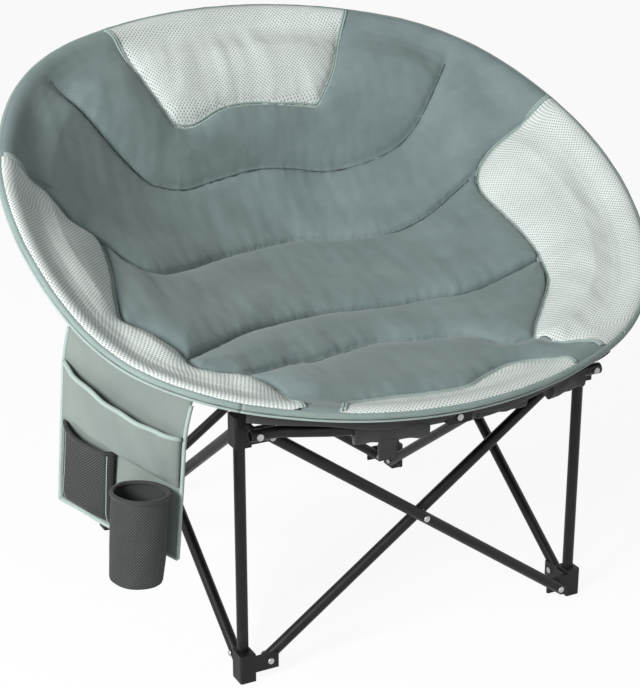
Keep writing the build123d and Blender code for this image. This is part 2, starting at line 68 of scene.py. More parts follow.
def newMaterial(name, values):
    material = bpy.data.materials.new(name)
    material.use_nodes = True
    shader = material.node_tree.nodes["Principled BSDF"]
    for key, value in values.items():
        shader.inputs[key].default_value = value
    return material, material.node_tree, shader


# Plain-woven polyester: dull, a little sheen, threads drawn coarse (1.6 mm on the seat) so that they show
def wovenPolyester(name, base, shade, threadMm=1.6, bump=0.12, crease=0.22):
    dull = {"Roughness": 0.78, "Sheen Weight": 0.12, "Sheen Roughness": 0.5}
    material, tree, shader = newMaterial(name, dull)
    place = addNode(tree, "ShaderNodeUVMap", uv_map="clothMetres")
    cross = addNode(tree, "ShaderNodeMapping", {"Scale": (1000 / threadMm, 1000 / threadMm, 1)},
                    {"Vector": (place, "UV")})
    threads = addNode(tree, "ShaderNodeTexChecker",
                      {"Scale": 1.0, "Color1": linear("#aeaeae"), "Color2": linear("#cbcbcb")},
                      {"Vector": (cross, "Vector")})
    patches = addNode(tree, "ShaderNodeTexNoise", {"Scale": 9.0, "Detail": 5.0, "Roughness": 0.62},
                      {"Vector": (place, "UV")})
    tone = addNode(tree, "ShaderNodeValToRGB", links={"Fac": (patches, "Fac")},
                   stops=[(0.34, shade), (0.66, base)])
    mix = addNode(tree, "ShaderNodeMix", {"Factor": 0.16}, data_type="RGBA", blend_type="OVERLAY")
    tree.links.new(tone.outputs["Color"], mix.inputs["A"])
    tree.links.new(threads.outputs["Color"], mix.inputs["B"])
    tree.links.new(mix.outputs["Result"], shader.inputs["Base Color"])
    creases = addNode(tree, "ShaderNodeTexNoise", {"Scale": 26.0, "Detail": 4.0, "Distortion": 0.7},
                      {"Vector": (place, "UV")})
    wrinkle = addNode(tree, "ShaderNodeBump", {"Strength": crease, "Distance": 0.004},
                      {"Height": (creases, "Fac")})
    weave = addNode(tree, "ShaderNodeBump", {"Strength": bump, "Distance": 0.0006},
                    {"Height": (threads, "Fac"), "Normal": (wrinkle, "Normal")})
    tree.links.new(weave.outputs["Normal"], shader.inputs["Normal"])
    return material


# Open-cell knits drawn coarse enough to show: pale thread round dark holes, or dark thread on a paler ground
def openKnit(name, thread, hole, pitchMm, narrow, wide, wash, rough):
    material, tree, shader = newMaterial(name, {"Roughness": rough})
    place = addNode(tree, "ShaderNodeUVMap", uv_map="clothMetres")
    turn = addNode(tree, "ShaderNodeMapping",
                   {"Rotation": (0, 0, math.radians(45)), "Scale": (1000 / pitchMm, 1000 / pitchMm, 1)},
                   {"Vector": (place, "UV")})
    cells = addNode(tree, "ShaderNodeTexVoronoi", {"Scale": 1.0, "Randomness": 0.0},
                    {"Vector": (turn, "Vector")}, voronoi_dimensions="2D")
    tone = addNode(tree, "ShaderNodeValToRGB", links={"Fac": (cells, "Distance")},
                   stops=[(narrow, hole), (wide, thread)])
    drift = addNode(tree, "ShaderNodeTexNoise", {"Scale": 7.0, "Detail": 3.0}, {"Vector": (place, "UV")})
    haze = addNode(tree, "ShaderNodeValToRGB", links={"Fac": (drift, "Fac")},
                   stops=[(0.3, wash), (0.7, "#ffffff")])
    mix = addNode(tree, "ShaderNodeMix", {"Factor": 1.0}, data_type="RGBA", blend_type="MULTIPLY")
    tree.links.new(tone.outputs["Color"], mix.inputs["A"])
    tree.links.new(haze.outputs["Color"], mix.inputs["B"])
    tree.links.new(mix.outputs["Result"], shader.inputs["Base Color"])
    bump = addNode(tree, "ShaderNodeBump", {"Strength": 0.5, "Distance": 0.0015},
                   {"Height": (cells, "Distance")})
    tree.links.new(bump.outputs["Normal"], shader.inputs["Normal"])
    return material


# Powder-coated steel, moulded nylon and zinc plate: grain drawn coarse so that it shows, worn patches paler
def grainedCoat(name, base, worn, grainMm, rough, bump, values):
    material, tree, shader = newMaterial(name, values)
    place = addNode(tree, "ShaderNodeTexCoord")
    grain = addNode(tree, "ShaderNodeTexNoise", {"Scale": 1000 / grainMm, "Detail": 2.0},
                    {"Vector": (place, "Object")})
    scuff = addNode(tree, "ShaderNodeTexNoise", {"Scale": 34.0, "Detail": 6.0, "Roughness": 0.7},
                    {"Vector": (place, "Object")})
    tone = addNode(tree, "ShaderNodeValToRGB", links={"Fac": (scuff, "Fac")},
                   stops=[(0.45, base), (0.78, worn)])
    tree.links.new(tone.outputs["Color"], shader.inputs["Base Color"])
    gloss = addNode(tree, "ShaderNodeMapRange",
                    {"From Min": 0.3, "From Max": 0.75, "To Min": rough, "To Max": rough + 0.16},
                    {"Value": (scuff, "Fac")})
    tree.links.new(gloss.outputs["Result"], shader.inputs["Roughness"])
    peel = addNode(tree, "ShaderNodeBump", {"Strength": bump, "Distance": 0.0004},
                   {"Height": (grain, "Fac")})
    tree.links.new(peel.outputs["Normal"], shader.inputs["Normal"])
    return material


matt = {"Specular IOR Level": 0.28}  # gives back little of the white room
finish = {
    "slate": wovenPolyester("wovenPolyesterSlate", "#738282", "#657474"),
    "binding": wovenPolyester("grosgrainBinding", "#82928f", "#748481", threadMm=2.4, bump=0.35,
                              crease=0.1),
    "piping": wovenPolyester("paleGrosgrainPiping", "#98a7a3", "#8a9995", threadMm=2.0, bump=0.35,
                             crease=0.1),
    "organiser": wovenPolyester("wovenPolyesterOrganiser", "#747e78", "#697370"),
    "mesh": openKnit("polyesterSpacerMesh", "#d9e0dc", "#75807b", pitchMm=5.0, narrow=0.12, wide=0.36,
                     wash="#ececec", rough=0.85),
    # Seam thread, darker than the slate cloth: real stitching, its dark tone painted shade of the seam
    # grooves
    "thread": wovenPolyester("seamThreadPaintedShade", "#566464", "#4b5858", threadMm=0.8, bump=0.5, crease=0.1),
    "black": wovenPolyester("blackOxfordPolyester", "#232425", "#1a1b1c", threadMm=1.8, bump=0.3,
                            crease=0.3),
    "net": openKnit("knittedNylonNet", "#161717", "#4c5352", pitchMm=3.2, narrow=0.2, wide=0.34,
                    wash="#d8d8d8", rough=0.7),
    "tube": grainedCoat("powderCoatedSteelTube", "#0d0d0e", "#1a1a1b", grainMm=1.6, rough=0.36, bump=0.22,
                        values=matt),
    "nylon": grainedCoat("mouldedNylonBlack", "#0f0f0f", "#1b1b1b", grainMm=0.9, rough=0.46, bump=0.35,
                         values=matt),
    "rivet": grainedCoat("zincPlatedSteelRivet", "#a9a9aa", "#d0d0d2", grainMm=2.2, rough=0.28, bump=0.1,
                         values={"Metallic": 0.8}),
}
print("materials ready", len(finish))


# The rim is an oval of arcs on a plane tilted up at the back: x across, w up the slope, n off it, in mm
rim = {
    "tilt": 29.3, "height": 715.0, "halfWidth": 558.0, "halfLength": 500.0,
    "cornerRadius": 360.0, "cornerX": 170.0, "cornerW": 105.0,
    "hemRadius": 11.0, "rodRadius": 9.5, "wrap": 8.5, "wrapRoom": 0.5,
    "sag": 20.0, "sagX": -520.0, "sagW": -250.0, "sagWide": 170.0, "sagLong": 150.0,
}
tiltCos, tiltSin = math.cos(math.radians(rim["tilt"])), math.sin(math.radians(rim["tilt"]))
cornerSquare = rim["cornerX"] ** 2 + rim["cornerW"] ** 2
endReach, sideReach = rim["halfLength"] - rim["cornerRadius"], rim["halfWidth"] - rim["cornerRadius"]
endCentre = (cornerSquare - endReach ** 2) / (2 * (endReach - rim["cornerW"]))
sideCentre = (cornerSquare - sideReach ** 2) / (2 * (sideReach - rim["cornerX"]))
endRadius, sideRadius = rim["halfLength"] + endCentre, rim["halfWidth"] + sideCentre
endTangent = endRadius * (rim["cornerW"] + endCentre) / (endRadius - rim["cornerRadius"]) - endCentre
sideTangent = sideRadius * rim["cornerW"] / (sideRadius - rim["cornerRadius"])


def toWorld(x, w, n):
    x, w, n = np.broadcast_arrays(np.asarray(x, float), np.asarray(w, float), np.asarray(n, float))
    lowX, lowW = (x - rim["sagX"]) / rim["sagWide"], (w - rim["sagW"]) / rim["sagLong"]
    # the rim hangs at the left front, where it carries the organiser
    droop = rim["sag"] * np.exp(-lowX ** 2 - lowW ** 2)
    z = rim["height"] + w * tiltSin + n * tiltCos - droop
    return np.stack([x, w * tiltCos - n * tiltSin, z], axis=-1) / 1000


# Half the oval's width at one place up the slope
def rimHalf(w, inset=0.0):
    a = abs(w)
    if a > endTangent:
        return math.sqrt(max((endRadius - inset) ** 2 - (a + endCentre) ** 2, 1.0))
    if a > sideTangent:
        square = (rim["cornerRadius"] - inset) ** 2 - (a - rim["cornerW"]) ** 2
        return rim["cornerX"] + math.sqrt(max(square, 0.0))
    return math.sqrt((sideRadius - inset) ** 2 - w ** 2) - sideCentre


# Half the oval's length at one place across it
def rimReach(x):
    a = abs(x)
    if a <= endRadius * rim["cornerX"] / (endRadius - rim["cornerRadius"]):
        return math.sqrt(endRadius ** 2 - a ** 2) - endCentre
    square = rim["cornerRadius"] ** 2 - (a - rim["cornerX"]) ** 2
    if square > 0 and rim["cornerW"] + math.sqrt(square) > sideTangent:
        return rim["cornerW"] + math.sqrt(square)
    return math.sqrt(max(sideRadius ** 2 - (a + sideCentre) ** 2, 0))


# The bowl's depth as (w, depth), guessed, and the wings' inner edges as (w, x), from the photograph
bowl = {
    "depths": ((-511, 4), (-440, 24), (-340, 78), (-233, 122), (-150, 148), (0, 200), (126, 234),
               (200, 220), (256, 176), (315, 92), (400, 38), (511, 4)),
    "leftWingEdge": ((-456, 260), (-437, 259), (-398, 257), (-354, 270), (-326, 291), (-312, 339),
                     (-291, 367), (-249, 370), (-215, 386), (-188, 410), (-164, 440), (-112, 428),
                     (-29, 402), (26, 390), (64, 388), (80, 404), (96, 432), (119, 442), (141, 458),
                     (150, 470), (158, 509), (166, 548)),
    "rightWingEdge": ((-446, 291), (-425, 288), (-406, 282), (-392, 256), (-358, 234), (-289, 292),
                      (-241, 335), (-209, 355), (-160, 369), (-133, 375), (-73, 381), (-13, 382),
                      (56, 380), (92, 386), (121, 404), (133, 421), (142, 440), (150, 490), (162, 546)),
    "depthSamples": 512, "smoothSamples": 41, "step": 4.0, "lap": 7.0, "tuck": 9.0, "tipRoom": 9.0,
    "creaseRow": -185.0, "creasePull": 130.0, "seatSeed": 3.1, "backSeed": 11.7, "fill": 0.6,
}
depthW = np.linspace(bowl["depths"][0][0], bowl["depths"][-1][0], bowl["depthSamples"])
depthLine = np.interp(depthW, *np.array(bowl["depths"], float).T)
smoothing = np.hanning(bowl["smoothSamples"]) / np.hanning(bowl["smoothSamples"]).sum()
depthEnds = np.pad(depthLine, bowl["smoothSamples"] // 2, mode="edge")
depthLine = np.convolve(depthEnds, smoothing, mode="valid")
wingEdges = {-1: np.array(bowl["leftWingEdge"], float), 1: np.array(bowl["rightWingEdge"], float)}

# Stitched seams in x and w, from the left of the seat to its right
seams = {
    "headrest": [(-266, 470), (-238, 436), (-211, 383), (-170, 318), (-152, 308), (-137, 307), (-110, 312),
                 (-54, 331), (8, 334), (100, 323), (128, 318), (144, 325), (180, 365), (208, 417),
                 (240, 472)],
    "shoulder": [(-408, 360), (-363, 330), (-306, 284), (-236, 239), (-207, 231), (-156, 230), (-90, 244),
                 (-4, 255), (68, 249), (146, 233), (217, 228), (288, 234), (340, 262), (408, 330)],
    "lumbar": [(-404, 86), (-375, 53), (-346, 14), (-297, -2), (-225, 28), (-120, 78), (18, 106), (72, 93),
               (160, 64), (218, 58), (283, 70), (343, 95), (388, 112)],
    "crease": [(-368, -268), (-297, -229), (-208, -183), (-97, -153), (-34, -147), (77, -158), (133, -164),
               (213, -178), (286, -172), (368, -160)],
    "thigh": [(-296, -326), (-192, -297), (-150, -292), (-74, -271), (-9, -260), (48, -275), (125, -291),
              (157, -313), (181, -350), (236, -360)],
    "lip": [(-214, -486), (-198, -470), (-178, -447), (-144, -441), (-77, -441), (36, -449), (86, -432),
            (142, -415), (192, -422), (216, -446), (228, -484)],
}
for side, word in ((-1, "leftWing"), (1, "rightWing")):
    seams[word] = [(side * x, w) for w, x in wingEdges[side]]


# A smooth line through every point
def smoothLine(points, step=4.0):
    pts = np.array(points, float)
    pad = np.vstack([2 * pts[0] - pts[1], pts, 2 * pts[-1] - pts[-2]])
    out = []
    for a, b, c, d in zip(pad, pad[1:], pad[2:], pad[3:]):
        count = max(2, int(np.linalg.norm(c - b) / step))
        t = np.linspace(0, 1, count, endpoint=False)[:, None]
        bend = (2 * a - 5 * b + 4 * c - d) * t ** 2 + (3 * b - a - 3 * c + d) * t ** 3
        out.append(0.5 * (2 * b + (c - a) * t + bend))
    return np.vstack(out + [pts[-1:]])


# Length along a line of points, from its start to each point
def runAlong(points):
    return np.concatenate([[0], np.cumsum(np.linalg.norm(np.diff(points, axis=0), axis=1))])


seamLines = {name: smoothLine(points) for name, points in seams.items()}
seamPoints = np.vstack(list(seamLines.values()))
seamRun = np.concatenate([runAlong(line) for line in seamLines.values()])


def bowlDepth(x, w):
    depth = np.interp(w, depthW, depthLine)
    half = np.array([rimHalf(v, rim["hemRadius"]) for v in np.ravel(w)]).reshape(np.shape(w))
    radius = (half ** 2 + depth ** 2) / (2 * depth)
    return depth - radius + np.sqrt(np.maximum(radius ** 2 - np.minimum(np.abs(x), half) ** 2, 0))


# Distance to the nearest of some points, and which point that is
def nearest(x, w, points, batch=4000):
    flatX, flatW = np.ravel(x), np.ravel(w)
    away, which = np.empty(flatX.size), np.empty(flatX.size, dtype=int)
    for start in range(0, flatX.size, batch):
        part = slice(start, start + batch)
        square = (flatX[part, None] - points[:, 0]) ** 2 + (flatW[part, None] - points[:, 1]) ** 2
        which[part] = square.argmin(axis=1)
        away[part] = np.sqrt(square.min(axis=1))
    return away.reshape(np.shape(x)), which.reshape(np.shape(x))


rimCounts = {"side": 700, "end": 260}
sideRun = np.linspace(-endTangent, endTangent, rimCounts["side"])
endRun = np.linspace(-rimHalf(endTangent), rimHalf(endTangent), rimCounts["end"])
sideHalf = np.array([rimHalf(v) for v in sideRun])
endRise = np.array([rimReach(v) for v in endRun])
rimSides = ((sideHalf, sideRun), (-sideHalf, sideRun), (endRun, endRise), (endRun, -endRise))
rimPath = np.vstack([np.stack(pair, axis=1) for pair in rimSides])


# Distance from the rim's rod, positive inside the oval
def rimAway(x, w):
    away = nearest(x, w, rimPath)[0]
    places = zip(np.ravel(x), np.ravel(w))
    inside = np.array([abs(a) < rimHalf(b) and abs(b) < rim["halfLength"] for a, b in places])
    return np.where(inside.reshape(np.shape(x)), away, -away)


def clothNoise(points, size, seed):
    flat = points.reshape(-1, 3) / size + [seed, 0, 0]
    return np.array([noise.noise(Vector(p)) for p in flat]).reshape(points.shape[:-1])


# Grows from its least share to 1 over a reach
def fade(distance, reach, least=0.0):
    return np.clip(distance / reach, least, 1)


# Heights and reaches in mm; a pair is a reach from the rim and the least share there
padding = {
    "puff": 23.0, "puffReach": 66.0, "puffEdge": (70.0, 0.35), "seamRound": 2.0, "edgeRise": 1.6,
    "sink": 9.0, "sinkEdge": (40.0, 0.2), "nip": 4.5, "nipReach": 5.0, "calmEdge": 60.0,
    "pucker": 2.3, "puckerMm": 13.0, "puckerReach": 20.0, "puckerStart": 5.0, "puckerLong": 0.25,
    "puckerSeed": 31, "folds": 3.4, "foldMm": 58.0, "foldLong": 0.4, "flatShare": 0.3,
    "creases": 1.5, "creaseMm": 23.0, "creaseLong": 0.28, "creaseSeed": 7,
    "rollFall": 36.0, "rollBlend": 3.0, "thickness": 24.0, "rimThickness": 9.0, "thickReach": 120.0,
    "underShare": 0.7, "underRod": 2.0, "leastThickness": 2.5,
}


# Heights of a padded panel: a crowned top between its seams and a plain underside
def padSurface(x, w, wrinkleSeed, full=1.0, tuck=0.0):
    away, which = nearest(x, w, seamPoints)
    inward = rimAway(x, w)
    edge = np.maximum(inward - rim["hemRadius"], 0)
    fromSeam = np.hypot(away, padding["seamRound"]) - padding["seamRound"]
    near = np.minimum(fromSeam, edge * padding["edgeRise"])
    crown = np.sqrt(1 - (1 - fade(near, padding["puffReach"])) ** 2)
    level = np.zeros_like(x)
    base = np.stack([x, w, level], axis=-1)
    sewn = np.stack([seamRun[which], away * padding["puckerLong"], level], axis=-1)
    gather = clothNoise(sewn, padding["puckerMm"], wrinkleSeed + padding["puckerSeed"])
    pucker = padding["pucker"] * gather * np.exp(-away / padding["puckerReach"])
    pucker = pucker * fade(away, padding["puckerStart"])
    foldNoise = clothNoise(base * [1, padding["foldLong"], 1], padding["foldMm"], wrinkleSeed)
    creaseNoise = clothNoise(base * [1, padding["creaseLong"], 1], padding["creaseMm"],
                             wrinkleSeed + padding["creaseSeed"])
    folds = foldNoise * padding["folds"] + creaseNoise * padding["creases"]
    floorLine = -bowlDepth(x, w) - padding["sink"] * fade(edge, *padding["sinkEdge"])
    top = floorLine + padding["puff"] * full * crown * fade(edge, *padding["puffEdge"]) - tuck
    calm = fade(edge, padding["calmEdge"])
    top = top + (pucker + folds * (padding["flatShare"] + (1 - padding["flatShare"]) * crown)) * calm
    # stitching pulls a crease
    top = top - padding["nip"] * np.exp(-(away / padding["nipReach"]) ** 2) * calm
    # the cloth rolls over the rod in the rim
    rod = rim["rodRadius"]
    outside = np.sqrt(np.maximum(rod ** 2 - np.minimum(inward, 0) ** 2, 0))
    over = np.where(inward < 0, outside, rod - inward ** 2 / padding["rollFall"]) - tuck
    top = 0.5 * (top + over + np.sqrt((top - over) ** 2 + padding["rollBlend"] ** 2))
    thicker = (padding["thickness"] - padding["rimThickness"]) * fade(edge, padding["thickReach"])
    thickness = padding["rimThickness"] + thicker
    belly = floorLine - thickness * (padding["underShare"] + (1 - padding["underShare"]) * crown)
    under = np.where(inward < 0, -outside - padding["underRod"],
                     np.minimum(belly, -rod - padding["underRod"]))
    return top, np.minimum(under, top - padding["leastThickness"])


# The four corners of each cell of a grid, in turn
def cellCorners(grid):
    corners = np.stack([grid[:-1, :-1], grid[:-1, 1:], grid[1:, 1:], grid[1:, :-1]], axis=2)
    return corners.reshape(-1, 4, *grid.shape[2:])


def meshPiece(name, verts, faces, cornerUv, materials, slots):
    mesh = bpy.data.meshes.new(name)
    mesh.from_pydata(verts.tolist(), [], faces)
    mesh.uv_layers.new(name="clothMetres").data.foreach_set("uv", cornerUv.ravel())
    for material in materials:
        mesh.materials.append(material)
    mesh.polygons.foreach_set("material_index", slots)
    mesh.polygons.foreach_set("use_smooth", np.ones(len(faces), dtype=bool))
    mesh.update()
    piece = bpy.data.objects.new(name, mesh)
    bpy.context.scene.collection.objects.link(piece)
    return piece


# Two layers of the same grid, sewn together round the border
def closedGrid(name, top, under, uv, topMaterials, underMaterial, pick=0):
    rows, cols = top.shape[:2]
    index = np.arange(rows * cols).reshape(rows, cols)
    below = rows * cols
    cells = cellCorners(index)
    border = np.concatenate([index[0, :-1], index[:-1, -1], index[-1, :0:-1], index[:0:-1, 0]])
    following = np.roll(border, -1)
    wall = np.stack([following, border, border + below, following + below], axis=1)
    faces = np.concatenate([cells, cells[:, ::-1] + below, wall])
    verts = np.vstack([top.reshape(-1, 3), under.reshape(-1, 3)])
    vertUv = np.vstack([uv.reshape(-1, 2)] * 2)
    slots = np.full(len(faces), len(topMaterials), dtype=np.int32)
    slots[:len(cells)] = np.ravel(pick)
    return meshPiece(name, verts, faces.tolist(), vertUv[faces], topMaterials + [underMaterial], slots)


# Place on the cloth in metres, across from the middle and along it
def clothUv(points):
    middle = points.shape[1] // 2
    along = runAlong(points[:, middle])
    across = np.array([runAlong(row) for row in points])
    across = across - across[:, middle:middle + 1]
    return np.stack([across, np.repeat(along[:, None], points.shape[1], axis=1)], axis=-1)


def insideOutline(x, w, outline):
    inside = np.zeros(x.shape, dtype=bool)
    for (x0, w0), (x1, w1) in zip(outline, np.roll(outline, -1, axis=0)):
        crosses = ((w0 > w) != (w1 > w)) & (x < (x1 - x0) * (w - w0) / (w1 - w0 + tiny) + x0)
        inside ^= crosses
    return inside


# How far the middle panel reaches to one side, with its lap under the wing and without
def middleHalf(w, side):
    room = rimHalf(w, -rim["wrap"])
    edge = wingEdges[side]
    if w < edge[0][0] or w > edge[-1][0]:
        return room, room
    reach = float(np.interp(w, edge[:, 0], edge[:, 1]))
    nearTip = min(w - edge[0][0], edge[-1][0] - w) < bowl["tipRoom"]
    return room if nearTip else min(room, reach + bowl["lap"]), min(room, reach)


def softPiece(piece, body, slotName, *nodes, fill=None):
    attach(piece, body)
    if nodes:
        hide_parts(*nodes)
    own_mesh(piece)


creaseRow = bowl["creaseRow"]
creaseX, creaseW = seamLines["crease"][np.argsort(seamLines["crease"][:, 0])].T


def middlePanel(name, low, high, body, node, meshOutline, seed):
    rows = np.linspace(low, high, int((high - low) / bowl["step"]))
    leftHalf, rightHalf = (np.array([middleHalf(v, side) for v in rows]) for side in (-1, 1))
    cols = np.linspace(-1, 1, int((leftHalf[:, 0].max() + rightHalf[:, 0].max()) / bowl["step"]) | 1)
    x = np.where(cols < 0, leftHalf[:, :1], rightHalf[:, :1]) * cols[None, :]
    lapped = np.abs(x) - np.where(cols < 0, leftHalf[:, 1:], rightHalf[:, 1:])
    w = np.repeat(rows[:, None], cols.size, axis=1)
    pull = np.clip(1 - np.abs(w - creaseRow) / bowl["creasePull"], 0, 1)
    w = w + (np.interp(x, creaseX, creaseW) - creaseRow) * pull
    top, under = padSurface(x, w, seed, tuck=bowl["tuck"] * fade(lapped, bowl["lap"]))
    topPoints = toWorld(x, w, top)
    midX, midW = (x[1:, 1:] + x[:-1, :-1]) / 2, (w[1:, 1:] + w[:-1, :-1]) / 2
    piece = closedGrid(name, topPoints, toWorld(x, w, under), clothUv(topPoints),
                       [finish["slate"], finish["mesh"]], finish["black"],
                       insideOutline(midX, midW, meshOutline))
    softPiece(piece, body, "seat_cloth", node, fill=bowl["fill"])


# Each mesh patch of the middle panels runs from its seam to corners past the rim
meshCorners = {"headrest": [(262, 520), (-280, 520)], "lip": [(236, -520), (-220, -520)]}
headOutline, lipOutline = (np.vstack([seamLines[key], meshCorners[key]]) for key in meshCorners)
frontEdge = -(rim["halfLength"] + rim["wrap"] - rim["wrapRoom"])
middlePanel("seatCushion", frontEdge, creaseRow, "seat", "seat_pad", lipOutline, bowl["seatSeed"])
middlePanel("backCushion", creaseRow, -frontEdge, "back", "back_pad", headOutline, bowl["backSeed"])
print("seat and back padded")

wing = {"columns": 48, "full": 1.15, "fill": 0.5, "tip": 1.0,
        "left": (-1, "left_side", "left_wing", 18.0), "right": (1, "right_side", "right_wing", 24.0)}
for word in ("left", "right"):
    side, body, node, seed = wing[word]
    edge = wingEdges[side]
    rows = np.linspace(edge[0][0] + wing["tip"], edge[-1][0] - wing["tip"],
                       int((edge[-1][0] - edge[0][0]) / bowl["step"]))
    inner = np.interp(rows, edge[:, 0], edge[:, 1])
    outer = np.maximum(np.array([rimHalf(v, -rim["wrap"]) for v in rows]), inner + wing["tip"])
    share = np.linspace(0, 1, wing["columns"])
    x = side * (inner[:, None] + (outer - inner)[:, None] * share)
    if side < 0:
        x = x[:, ::-1]
    w = np.repeat(rows[:, None], wing["columns"], axis=1)
    top, under = padSurface(x, w, seed, wing["full"])
    topPoints = toWorld(x, w, top)
    piece = closedGrid(word + "Wing", topPoints, toWorld(x, w, under), clothUv(topPoints),
                       [finish["mesh"]], finish["black"])
    softPiece(piece, body, "spacer_mesh", node, fill=wing["fill"])
print("side wings padded")


# A closed tube of cloth along a line of points, its radius free to vary along and around
def clothTube(name, points, radius, material, sides, ripple, seed, flat=1.0, up=(0, 0, 1)):
    tangent = np.gradient(points, axis=0)
    tangent /= np.linalg.norm(tangent, axis=1)[:, None]
    sideways = np.cross(tangent, np.asarray(up, float))
    sideways /= np.linalg.norm(sideways, axis=1)[:, None]
    lift = np.cross(sideways, tangent)
    run = runAlong(points)
    angle = np.linspace(0, 2 * math.pi, sides, endpoint=False)
    radii = np.broadcast_to(np.asarray(radius, float), (len(points),))
    rippleRate, rippleRound = 42, 1.1  # ripples to the metre, and how much they differ round the tube
    around = np.broadcast_arrays(run[:, None] * rippleRate, np.cos(angle) * rippleRound,
                                 np.sin(angle) * rippleRound)
    swell = radii[:, None] * (1 + ripple * clothNoise(np.stack(around, axis=-1), 1.0, seed))
    ring = np.cos(angle)[:, None] * sideways[:, None] + flat * np.sin(angle)[:, None] * lift[:, None]
    verts = (points[:, None] + swell[..., None] * ring).reshape(-1, 3)
    index = np.arange(len(verts)).reshape(len(points), sides)
    faces = cellCorners(np.hstack([index, index[:, :1]])).tolist()
    faces += [index[0, ::-1].tolist(), index[-1].tolist()]
    girth = 2 * math.pi * radii.mean() / sides
    wallUv = np.stack(np.meshgrid(np.arange(sides + 1) * girth, run), axis=-1)
    cornerUv = np.vstack([cellCorners(wallUv).reshape(-1, 2), np.zeros((2 * sides, 2))])
    return meshPiece(name, verts, faces, cornerUv, [material], np.zeros(len(faces), dtype=np.int32))


# The rim's line on one side, from low to high on the slope
def rimLine(lowW, highW, side, count):
    w = np.linspace(lowW, highW, count)
    return np.stack([side * np.array([rimHalf(v) for v in w]), w], axis=1)


# The rim's line round the front or back end, from left to right
def endLine(sign, edge, count=160):
    x = np.linspace(-rimHalf(edge), rimHalf(edge), count)
    return np.stack([x, sign * np.array([rimReach(v) for v in x])], axis=1)


# Radii in metres, the rest of the lengths in mm
hemLook = {"frontW": -420, "backW": 160, "count": 140, "fill": 0.9,
           "radius": 0.0054, "out": 7.0, "up": 3.2, "sides": 14, "ripple": 0.10, "seed": 2.0,
           "lineRadius": 0.0022, "lineOut": 10.5, "lineUp": -5.0, "lineSides": 8, "lineRipple": 0.06,
           "lineSeed": 5.0}
hemSpan = (hemLook["frontW"], hemLook["backW"])
hemLines = {
    "front": (endLine(-1, hemLook["frontW"]), "seat", "rim_hem_front"),
    "back": (endLine(1, hemLook["backW"]), "back", "rim_hem_back"),
    "left": (rimLine(*hemSpan, -1, hemLook["count"]), "left_side", "rim_hem_left"),
    "right": (rimLine(*hemSpan, 1, hemLook["count"]), "right_side", "rim_hem_right"),
}
for place, (line, body, node) in hemLines.items():
    outward = line / [rim["halfWidth"] ** 2, rim["halfLength"] ** 2]
    outward /= np.linalg.norm(outward, axis=1)[:, None]
    tape, fringe = line + outward * hemLook["out"], line + outward * hemLook["lineOut"]
    hem = clothTube(place + "Hem", toWorld(*tape.T, hemLook["up"]), hemLook["radius"], finish["binding"],
                    hemLook["sides"], hemLook["ripple"], hemLook["seed"])
    softPiece(hem, body, "rim_binding", node, fill=hemLook["fill"])
    edging = clothTube(place + "Piping", toWorld(*fringe.T, hemLook["lineUp"]), hemLook["lineRadius"],
                       finish["piping"], hemLook["lineSides"], hemLook["lineRipple"], hemLook["lineSeed"])
    softPiece(edging, body, "rim_binding")
print("rim bound")

# Radii in metres, offsets and lift in mm
piping = {"offsets": (-2.2, 2.2), "radius": 0.0023, "look": "piping", "lift": 0.9}
# Thread in the channel seams, its dark finish painted shade of the grooves
stitching = {"offsets": (0.0,), "radius": 0.0013, "look": "thread", "lift": 1.0, "trim": 3}
sewing = {"sides": 7, "ripple": 0.05, "seed": 1.0, "pastRim": 4.0}


# Piping or thread sewn on the padding along a seam; the seam thread is drawn dark as painted shade of the
# groove
def sewAlong(name, line, body, look):
    step = np.gradient(line, axis=0)
    normal = np.stack([-step[:, 1], step[:, 0]], axis=1)
    normal /= np.linalg.norm(normal, axis=1)[:, None] + tiny
    for number, shift in enumerate(look["offsets"], start=1):
        path = line + normal * shift
        inside = rimAway(*path.T) > -sewing["pastRim"]
        path, across = path[inside], normal[inside] * bowl["step"] / 2
        # the padding is meshed in short flats, so its height is taken a little to each side
        heights = [padSurface(*place.T, bowl["seatSeed"])[0] for place in (path - across, path + across)]
        piece = clothTube(name + str(number), toWorld(*path.T, np.mean(heights, axis=0) + look["lift"]),
                          look["radius"], finish[look["look"]],
                          sewing["sides"], sewing["ripple"], sewing["seed"])
        softPiece(piece, body, "rim_binding")


# Pale double piping along the edges of the mesh panels, and real thread in the seams between channels, drawn
# dark as painted shade of the seam grooves
pipedSeams = {"headrest": "back", "lip": "seat", "rightWing": "right_side", "leftWing": "left_side"}
for seamName, body in pipedSeams.items():
    sewAlong(seamName + "Piping", seamLines[seamName], body, piping)
for seamName, body in (("shoulder", "back"), ("lumbar", "back"), ("crease", "back"), ("thigh", "seat")):
    trimmed = seamLines[seamName][stitching["trim"]:-stitching["trim"]]
    sewAlong(seamName + "Seam", trimmed, body, stitching)
print("seams piped")


def clothPatch(name, grid, thick, material):
    normal = np.cross(np.gradient(grid, axis=1), np.gradient(grid, axis=0))
    normal /= np.linalg.norm(normal, axis=2)[..., None] + tiny
    half = normal * thick / 2
    return closedGrid(name, grid + half, grid - half, clothUv(grid), [material], material)


# Front bar sleeves: black cloth wrapped round the two front bars, whose routes are in mm
bars = {"height": 445.0,
        "left": [(-324, -347.8), (-280, -347.8), (-190, -389.8), (-75, -413), (12, -413)],
        "right": [(324, -347.8), (280, -347.8), (190, -376.8), (75, -387), (-12, -387)]}
sleeves = {"bar_sleeve_1": ("left", -170, -52), "bar_sleeve_2": ("right", 54, 150),
           "bar_sleeve_3": ("right", 205, 285)}
sleeveLook = {"count": 48, "radius": 0.0122, "flare": 0.0010, "lower": 0.006, "sides": 24, "ripple": 0.2,
              "flat": 1.6}


# A bar's route with its corners cut round
def roundedRoute(route, passes=4):
    pts = np.array(route, float)
    for _ in range(passes):
        cut = [pts[0]]
        for a, b in zip(pts, pts[1:]):
            cut += [a * 0.75 + b * 0.25, a * 0.25 + b * 0.75]
        pts = np.array(cut + [pts[-1]])
    return pts


